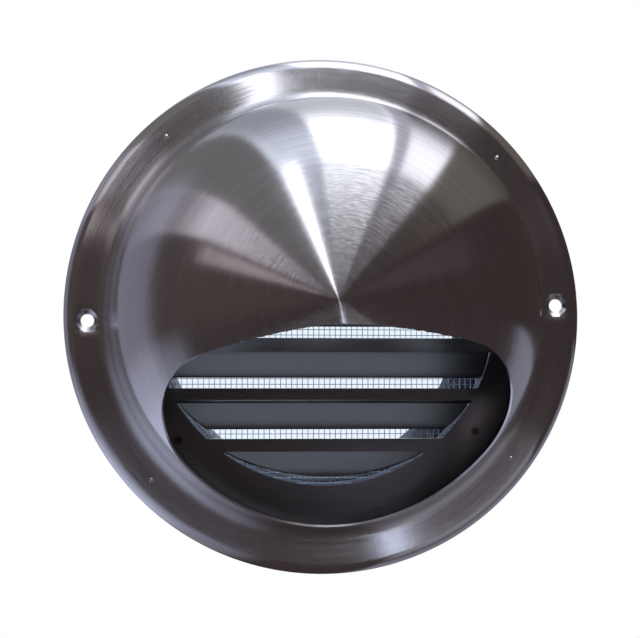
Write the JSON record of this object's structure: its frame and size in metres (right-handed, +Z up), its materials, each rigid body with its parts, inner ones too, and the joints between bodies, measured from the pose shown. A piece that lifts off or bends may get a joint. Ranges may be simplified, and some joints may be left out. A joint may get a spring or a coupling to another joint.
{
  "type": "round vent cover",
  "caption": "Round stainless-steel wall vent cover: a domed rain hood with a slanting mouth over a lanced louvre plate, a woven insect screen and a duct spigot.",
  "frame": {"origin": "centre of the duct spigot on the wall plane, where the flange's rolled edge meets the wall", "axes": "+Z up, -Y out of the wall towards the viewer, +Y into the wall along the spigot, +X to the viewer's right along the screw line"},
  "size_m": [0.15, 0.111, 0.15],
  "materials": {
    "hood_steel": "circular brushed",
    "louvre_steel": "mill",
    "screen_wire": "drawn wire",
    "spigot_steel": "mill"
  },
  "bodies": {
    "root": {"hood": "hood_steel", "louvre_plate": "louvre_steel", "insect_screen": "screen_wire", "spigot": "spigot_steel"}
  },
  "joints": []
}
